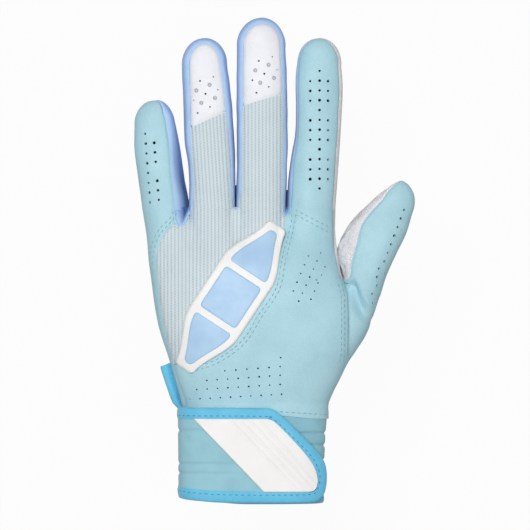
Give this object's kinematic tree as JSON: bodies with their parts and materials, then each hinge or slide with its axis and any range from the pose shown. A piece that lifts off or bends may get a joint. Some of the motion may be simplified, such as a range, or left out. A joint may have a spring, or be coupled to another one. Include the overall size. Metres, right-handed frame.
{
  "type": "batting glove",
  "caption": "Left-hand batting glove lying palm down, sewn from leather, knit and gusset panels, with bending digits and a wrist strap that peels open.",
  "frame": {"origin": "under the middle of the glove's plan box, on the plane that the palm and fingers rest on", "axes": "+X towards the thumb, +Y towards the fingertips, +Z out of the back of the hand"},
  "size_m": [0.1308, 0.2264, 0.0329],
  "materials": {
    "aqua_leather": "smooth pale aqua synthetic leather with punched holes",
    "white_leather": "white leather with a fine grain",
    "knit": "pale grey-aqua ribbed knit mesh",
    "gusset": "periwinkle stretch fabric",
    "tape": "sky-blue folded binding tape",
    "ribbed": "aqua quilted wrist fabric",
    "moulded_white": "matt white moulded rubber",
    "moulded_blue": "matt light-blue moulded rubber",
    "pad": "white hook or loop pile"
  },
  "bodies": {
    "hand": {"hand_palm": "white_leather", "hand_mesh": "knit", "hand_back": "aqua_leather", "ulnar_side": "aqua_leather", "thumb_base": "aqua_leather", "emblem_plate": "moulded_white", "emblem_inlay_1": "moulded_blue", "emblem_inlay_2": "moulded_blue", "emblem_inlay_3": "moulded_blue", "cuff_band": "ribbed", "cuff_binding": "tape", "loop_pad": "pad", "strap_anchor": "ribbed", "placket_binding": "tape"},
    "little_finger": {"little_back": "aqua_leather", "little_side": "gusset", "little_palm": "white_leather"},
    "ring_finger": {"ring_back": "knit", "ring_tip": "white_leather", "ring_side": "gusset", "ring_palm": "white_leather"},
    "middle_finger": {"middle_back": "knit", "middle_tip": "white_leather", "middle_side": "gusset", "middle_palm": "white_leather"},
    "index_finger": {"index_back": "aqua_leather", "index_side": "gusset", "index_palm": "white_leather"},
    "thumb": {"thumb_back": "aqua_leather", "thumb_palm": "white_leather"},
    "strap": {"strap_panel": "ribbed", "strap_binding": "tape", "strap_patch": "moulded_white", "hook_pad": "pad"}
  },
  "joints": [
    {"name": "little_bend", "type": "hinge", "parent": "hand", "child": "little_finger", "pos_m": [-0.051, 0.02433, 0], "axis": [-1, 0, 0], "range_deg": [0, 80], "stiffness_Nm_per_rad": 0.02},
    {"name": "ring_bend", "type": "hinge", "parent": "hand", "child": "ring_finger", "pos_m": [-0.0281, 0.02433, 0], "axis": [-1, 0, 0], "range_deg": [0, 80], "stiffness_Nm_per_rad": 0.02},
    {"name": "middle_bend", "type": "hinge", "parent": "hand", "child": "middle_finger", "pos_m": [-0.006, 0.02433, 0], "axis": [-1, 0, 0], "range_deg": [0, 80], "stiffness_Nm_per_rad": 0.02},
    {"name": "index_bend", "type": "hinge", "parent": "hand", "child": "index_finger", "pos_m": [0.0173, 0.02433, 0], "axis": [-1, 0, 0], "range_deg": [0, 80], "stiffness_Nm_per_rad": 0.02},
    {"name": "thumb_bend", "type": "hinge", "parent": "hand", "child": "thumb", "pos_m": [0.0404, -0.01187, 0], "axis": [-0.9304, 0.3665, 0], "range_deg": [0, 60], "stiffness_Nm_per_rad": 0.02},
    {"name": "strap_peel", "type": "hinge", "parent": "hand", "child": "strap", "pos_m": [-0.04524, -0.0902, 0.015], "axis": [0, -1, 0], "range_deg": [0, 150]}
  ]
}
